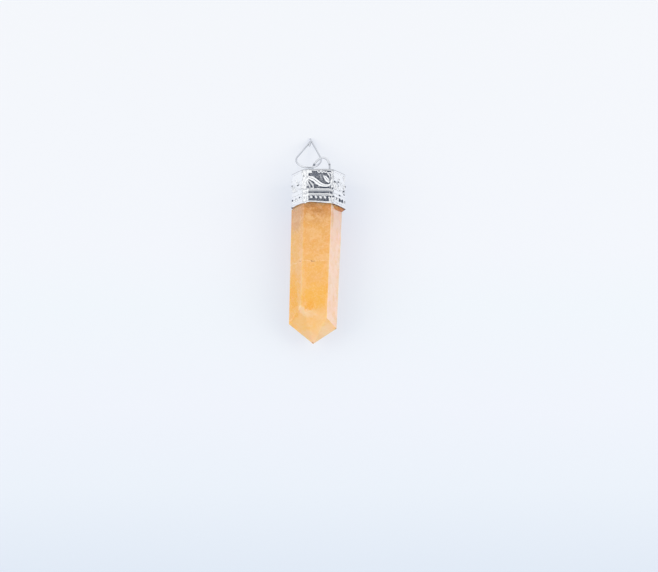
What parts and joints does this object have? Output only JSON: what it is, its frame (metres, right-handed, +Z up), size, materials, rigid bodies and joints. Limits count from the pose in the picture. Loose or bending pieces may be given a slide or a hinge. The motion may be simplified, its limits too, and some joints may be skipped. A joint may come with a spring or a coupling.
{
  "type": "crystal point pendant",
  "caption": "Six-sided crystal point held in a cast sleeve cap with a soldered wire eyelet and a swinging teardrop wire bail.",
  "frame": {"origin": "on the floor, under the middle of the pendant as it lies on its side", "axes": "+Z up from the floor, +Y from the stone's tip to the bail, +X to the right as seen from the tip end"},
  "size_m": [0.0115, 0.0439, 0.01],
  "materials": {
    "stone": "polished cloudy translucent quartz",
    "cap_silver": "cast silver plate, darkened in the hollows",
    "bail_silver": "polished silver wire"
  },
  "bodies": {
    "pendant": {"crystal_point": "stone", "cap": "cap_silver"},
    "bail": {"bail": "bail_silver"}
  },
  "joints": [
    {"name": "bail_swing", "type": "hinge", "parent": "pendant", "child": "bail", "pos_m": [-0.00029, 0.01467, 0.00486], "axis": [0.7418, 0.5454, -0.3902], "range_deg": [-58, 138]}
  ]
}
